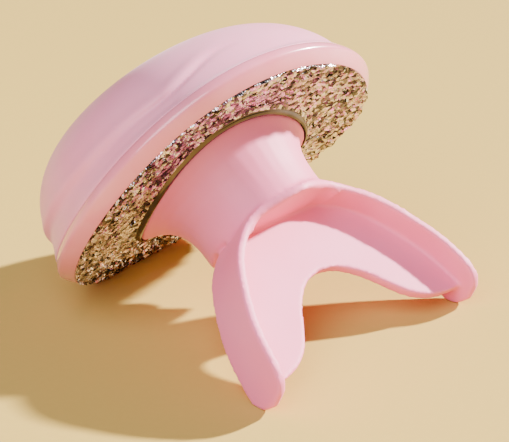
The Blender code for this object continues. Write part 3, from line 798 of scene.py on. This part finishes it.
def nub_points():
    """A staggered grid on the crown, as loose points in the scrubber's own axes."""
    points = []
    rows = int(NUB_FIELD / (NUB_SPACING * math.sqrt(0.75))) + 1
    for i in range(-rows, rows + 1):
        for j in range(-rows, rows + 1):
            x = (j + 0.5 * (i % 2)) * NUB_SPACING
            y = i * NUB_SPACING * math.sqrt(0.75)
            if math.hypot(x, y) <= NUB_FIELD:
                px, py, pz = shape_dome(x, y, crown_height(math.hypot(x, y)))
                points.append((px * MM, py * MM, pz * MM))
    mesh = bpy.data.meshes.new("nub_points")
    mesh.from_pydata(points, [], [])
    return mesh


nub_group = new_group("nubs")
sizes = {
    "radius": node_input(nub_group, "Nub radius", "NodeSocketFloat", NUB_RADIUS * MM),
    "height": node_input(nub_group, "Nub height", "NodeSocketFloat", NUB_HEIGHT * MM),
    "look": node_input(nub_group, "Material", "NodeSocketMaterial", None)}
given = add_node(nub_group, "NodeGroupInput").outputs
ball = add_node(nub_group, "GeometryNodeMeshIcoSphere", values={"Radius": 1.0, "Subdivisions": 2})
stretch = add_node(nub_group, "ShaderNodeCombineXYZ",
                   links={"X": given["Nub radius"], "Y": given["Nub radius"], "Z": given["Nub height"]})
spread = add_node(nub_group, "GeometryNodeInstanceOnPoints",
                  links={"Points": given["Geometry"], "Instance": ball.outputs["Mesh"],
                         "Scale": stretch.outputs[0]})
real = add_node(nub_group, "GeometryNodeRealizeInstances", links={"Geometry": spread.outputs[0]})
dressed = add_node(nub_group, "GeometryNodeSetMaterial",
                   links={"Geometry": real.outputs[0], "Material": given["Material"]})
add_node(nub_group, "NodeGroupOutput", links={"Geometry": dressed.outputs[0]})
nub_mesh = grown_mesh("dome_nubs", nub_group, {
    sizes["radius"]: NUB_RADIUS * MM, sizes["height"]: NUB_HEIGHT * MM, sizes["look"]: dome_silicone},
    start=nub_points())
nubs = add_piece("dome_nubs", settle(nub_mesh), dome_silicone)
print("nub faces:", len(nub_mesh.polygons))

# %% [markdown]
# ## Button and charging pins
#
# The button sits in a round boss on the underside of the neck. Its cap is dished for a fingertip and its
# edge is rounded, and a clear light pipe comes through its middle. A gold-plated pin stands on each side
# for the magnetic charging lead. Each is a turned piece, with its axis square to the shaft.

# %% The turned button and pins
BUTTON_Z = -8.0
BUTTON_STEPS = 64
PIN_STEPS = 32
BUTTON_LINE = [(0.0, 6.3), (4.0, 6.3), (4.0, 7.3), (3.2, 7.3), (3.2, 13.5), (3.12, 13.72), (2.95, 13.88),
               (2.7, 13.95), (2.3, 13.86), (1.6, 13.72), (0.72, 13.66), (0.72, 7.3), (0.0, 7.3)]
PIN_LINE = [(0.0, 3.3), (0.9, 3.3), (0.9, 9.35), (0.82, 9.52), (0.62, 9.63), (0.35, 9.69), (0.0, 9.7)]
PIN_X = (-7.0, 7.0)

gold_plate, tree, shader = new_material("hard_gold_plate", Metallic=1.0)
shader.inputs["Base Color"].default_value = colour("E3BE72")
spots = add_node(tree, "ShaderNodeTexCoord").outputs["Object"]
# Plating grain, about 0.2 mm
grain = add_node(tree, "ShaderNodeTexNoise", values={"Scale": per_mm(0.2), "Detail": 4.0},
                 links={"Vector": spots})
rough = add_node(tree, "ShaderNodeMapRange", values={"To Min": 0.18, "To Max": 0.32},
                 links={"Value": grain.outputs["Fac"]})
tree.links.new(rough.outputs["Result"], shader.inputs["Roughness"])


def sideways(x_centre):
    """Turns a piece so that its axis runs towards the underside, through the button's height."""
    return lambda x, y, z: (x + x_centre, z, BUTTON_Z + y)


cap_mesh = turned_mesh("button_cap", BUTTON_LINE, BUTTON_STEPS, sideways(0.0), closed=False)
cap = add_piece("button_cap", cap_mesh, rim_abs, body="button")
cap_mesh.set_sharp_from_angle(angle=math.radians(40.0))
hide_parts("power_button")
for number, x in enumerate(PIN_X, start=1):
    pin_mesh = turned_mesh(f"plated_pin_{number}", PIN_LINE, PIN_STEPS, sideways(x), closed=False)
    pin = add_piece(f"plated_pin_{number}", pin_mesh, gold_plate)
    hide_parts(f"charge_pin_{number}")
print("button and pins made")

# %% [markdown]
# ## Materials of the inside
#
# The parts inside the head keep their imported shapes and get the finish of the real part: moulded ABS,
# drawn steel, zinc-plated screws, a laminated foil cell, solder resist over copper, PVC insulation. One
# recipe serves them all, because each is a base colour with a grain of its own size and depth.

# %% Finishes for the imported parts


def grained(name, dark, light, grain_mm, roughness, depth_mm, stretch=(1.0, 1.0, 1.0), **sockets):
    """A material whose colour, roughness and relief follow one grain of a real size."""
    made, tree, shader = new_material(name, **sockets)
    where = add_node(tree, "ShaderNodeTexCoord")
    spots = add_node(tree, "ShaderNodeMapping", values={"Scale": stretch},
                     links={"Vector": where.outputs["Object"]}).outputs["Vector"]
    grain = add_node(tree, "ShaderNodeTexNoise", values={"Scale": per_mm(grain_mm), "Detail": 4.0},
                     links={"Vector": spots})
    shades = add_node(tree, "ShaderNodeValToRGB", links={"Fac": grain.outputs["Fac"]},
                      stops=[(0.3, colour(dark)), (0.7, colour(light))])
    tree.links.new(shades.outputs["Color"], shader.inputs["Base Color"])
    rough = add_node(tree, "ShaderNodeMapRange", values={"To Min": roughness[0], "To Max": roughness[1]},
                     links={"Value": grain.outputs["Fac"]})
    tree.links.new(rough.outputs["Result"], shader.inputs["Roughness"])
    relief = add_node(tree, "ShaderNodeBump", values={"Strength": 0.4, "Distance": depth_mm * MM},
                      links={"Height": grain.outputs["Fac"]})
    tree.links.new(relief.outputs["Normal"], shader.inputs["Normal"])
    return made


# White ABS, as moulded: eggshell, with faint flow marks
white_abs = grained("moulded_abs_white", "E4E1DA", "F0EEE8", 2.5, (0.42, 0.55), 0.02, IOR=1.54)
black_abs = grained("moulded_abs_black", "18181A", "262629", 0.4, (0.4, 0.55), 0.02, IOR=1.54)
# Nitrile gasket: dull and slightly dusty
gasket_rubber = grained("nitrile_rubber", "1C1B1B", "2C2A29", 0.6, (0.65, 0.8), 0.03, IOR=1.52)
# Deep-drawn steel: fine lines along the shaft, stretched eight to one
drawn_steel = grained("drawn_steel", "A9A9AB", "C9C9CB", 0.25, (0.22, 0.36), 0.01, (4.0, 0.5, 0.5),
                      Metallic=1.0)
zinc_plate = grained("zinc_plated_steel", "9FA3A8", "C2C5C8", 0.5, (0.25, 0.42), 0.015, Metallic=1.0)
sintered_weight = grained("sintered_tungsten_brass", "8E7A4E", "B39A63", 0.15, (0.35, 0.5), 0.02,
                          Metallic=1.0)
cell_foil = grained("laminated_cell_foil", "B4B8BC", "D2D5D8", 1.8, (0.3, 0.45), 0.08, Metallic=1.0)
solder_resist = grained("green_solder_resist", "0D4A2A", "17663B", 0.9, (0.3, 0.42), 0.015, IOR=1.5)
red_pvc = grained("pvc_insulation_red", "8F1414", "B01E1C", 0.8, (0.38, 0.5), 0.02, IOR=1.53)
black_pvc = grained("pvc_insulation_black", "141414", "202020", 0.8, (0.38, 0.5), 0.02, IOR=1.53)
grey_pvc = grained("pvc_insulation_grey", "6E6E70", "858588", 0.8, (0.38, 0.5), 0.02, IOR=1.53)
# Frosted acrylic: it lets the lamp's light through but shows nothing behind it
frosted_acrylic = grained("frosted_acrylic", "F2F2EE", "FFFFFF", 0.3, (0.3, 0.45), 0.01, IOR=1.49,
                          Transmission_Weight=0.5)
FINISHES = {
    "dome_core": white_abs, "carrier_plate": white_abs, "switch_frame": white_abs, "seal_ring": gasket_rubber,
    "battery": cell_foil, "battery_strap": black_abs, "motor_bracket": black_abs, "control_chip": black_abs,
    "charge_chip": black_abs, "power_coil": black_abs, "tact_switch": black_abs, "motor_can": drawn_steel,
    "motor_shaft": drawn_steel, "eccentric_weight": sintered_weight, "main_board": solder_resist,
    "switch_board": solder_resist, "switch_cable": grey_pvc, "battery_lead_plus": red_pvc,
    "battery_lead_minus": black_pvc, "light_pipe": frosted_acrylic}
for name, node in frame["nodes"].items():
    finish = FINISHES.get(name, zinc_plate if "_screw_" in name else None)
    if finish:
        for material_slot in node.material_slots:
            material_slot.material = finish
print("finished", len(FINISHES), "kinds of packed parts and the screws")

# %% [markdown]
# ## Floor and light
#
# A pale warm flat floor, one low key light for soft-edged shadows, a weak fill all round from the sky
# and a soft area light as a second fill from above.

# %% The studio
paint, tree, shader = new_material("matte_studio_paint", IOR=1.45)
spots = add_node(tree, "ShaderNodeTexCoord").outputs["Object"]
# The roller's stipple, about 1.5 mm across, too faint to see one by one
stipple = add_node(tree, "ShaderNodeTexNoise", values={"Scale": per_mm(1.5), "Detail": 3.0},
                   links={"Vector": spots})
shades = add_node(tree, "ShaderNodeValToRGB", links={"Fac": stipple.outputs["Fac"]},
                  stops=[(0.3, colour("C9A954")), (0.7, colour("CBAB56"))])
tree.links.new(shades.outputs["Color"], shader.inputs["Base Color"])
rough = add_node(tree, "ShaderNodeMapRange", values={"To Min": 0.7, "To Max": 0.8},
                 links={"Value": stipple.outputs["Fac"]})
tree.links.new(rough.outputs["Result"], shader.inputs["Roughness"])
floor_mesh = bpy.data.meshes.new("studio_floor")
HALF = 3.0
corners = [(-HALF, -HALF, 0), (HALF, -HALF, 0), (HALF, HALF, 0), (-HALF, HALF, 0)]
floor_mesh.from_pydata(corners, [], [(0, 1, 2, 3)])
floor = bpy.data.objects.new("studio_floor", floor_mesh)
bpy.context.scene.collection.objects.link(floor)
floor_mesh.materials.append(paint)

KEY_ELEVATION_DEG = 29.0
KEY_AZIMUTH_DEG = -20.0
KEY_STRENGTH = 17.0
KEY_SOFTNESS_DEG = 3.0
key_data = bpy.data.lights.new("key", "SUN")
key_data.energy = KEY_STRENGTH
key_data.angle = math.radians(KEY_SOFTNESS_DEG)
key_data.color = (1.0, 0.96, 0.9)
key = bpy.data.objects.new("key", key_data)
elevation = math.radians(KEY_ELEVATION_DEG)
azimuth = math.radians(KEY_AZIMUTH_DEG)
towards = Vector((math.cos(elevation) * math.cos(azimuth), math.cos(elevation) * math.sin(azimuth),
                  math.sin(elevation)))
key.rotation_euler = towards.to_track_quat("Z", "Y").to_euler()
bpy.context.scene.collection.objects.link(key)

world = bpy.data.worlds.new("studio")
bpy.context.scene.world = world
world.use_nodes = True
sky = world.node_tree.nodes["Background"]
SKY_COLOUR = (0.95, 0.93, 1.0, 1.0)
SKY_STRENGTH = 0.14
sky.inputs["Color"].default_value = SKY_COLOUR
sky.inputs["Strength"].default_value = SKY_STRENGTH

FILL_FROM = Vector((-0.7, -0.3, 0.72)).normalized()
FILL_DISTANCE = 1.1
FILL_SIZE = 1.1
FILL_WATTS = 18.0
fill_data = bpy.data.lights.new("fill", "AREA")
fill_data.shape = "DISK"
fill_data.size = FILL_SIZE
fill_data.energy = FILL_WATTS
fill_data.color = (0.95, 0.93, 1.0)
fill = bpy.data.objects.new("fill", fill_data)
fill.location = FILL_FROM * FILL_DISTANCE
fill.rotation_euler = FILL_FROM.to_track_quat("Z", "Y").to_euler()
bpy.context.scene.collection.objects.link(fill)
print("key light from", [round(v, 2) for v in towards])
